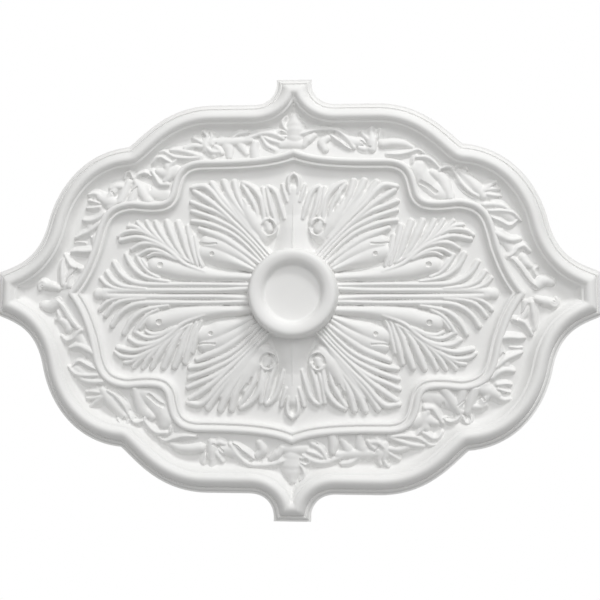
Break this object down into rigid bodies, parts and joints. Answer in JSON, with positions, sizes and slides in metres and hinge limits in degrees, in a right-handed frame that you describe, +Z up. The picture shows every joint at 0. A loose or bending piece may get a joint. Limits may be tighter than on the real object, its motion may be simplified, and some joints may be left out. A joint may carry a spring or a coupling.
{
  "type": "ceiling rose",
  "caption": "Lozenge-shaped moulded ceiling rose with a stepped rim, a vine channel, an inner frame, a leaf rosette and a round boss with a flat dish.",
  "frame": {"origin": "centre of the flat back face, where the rose is fixed to the ceiling", "axes": "+Z up into the ceiling, relief facing down along -Z; +X along the long axis; -Y is the top of the picture"},
  "size_m": [0.73, 0.534, 0.04],
  "materials": {
    "white_paint": "matte white paint over moulded foam"
  },
  "bodies": {
    "root": {"ceiling_rose": "white_paint"}
  },
  "joints": []
}
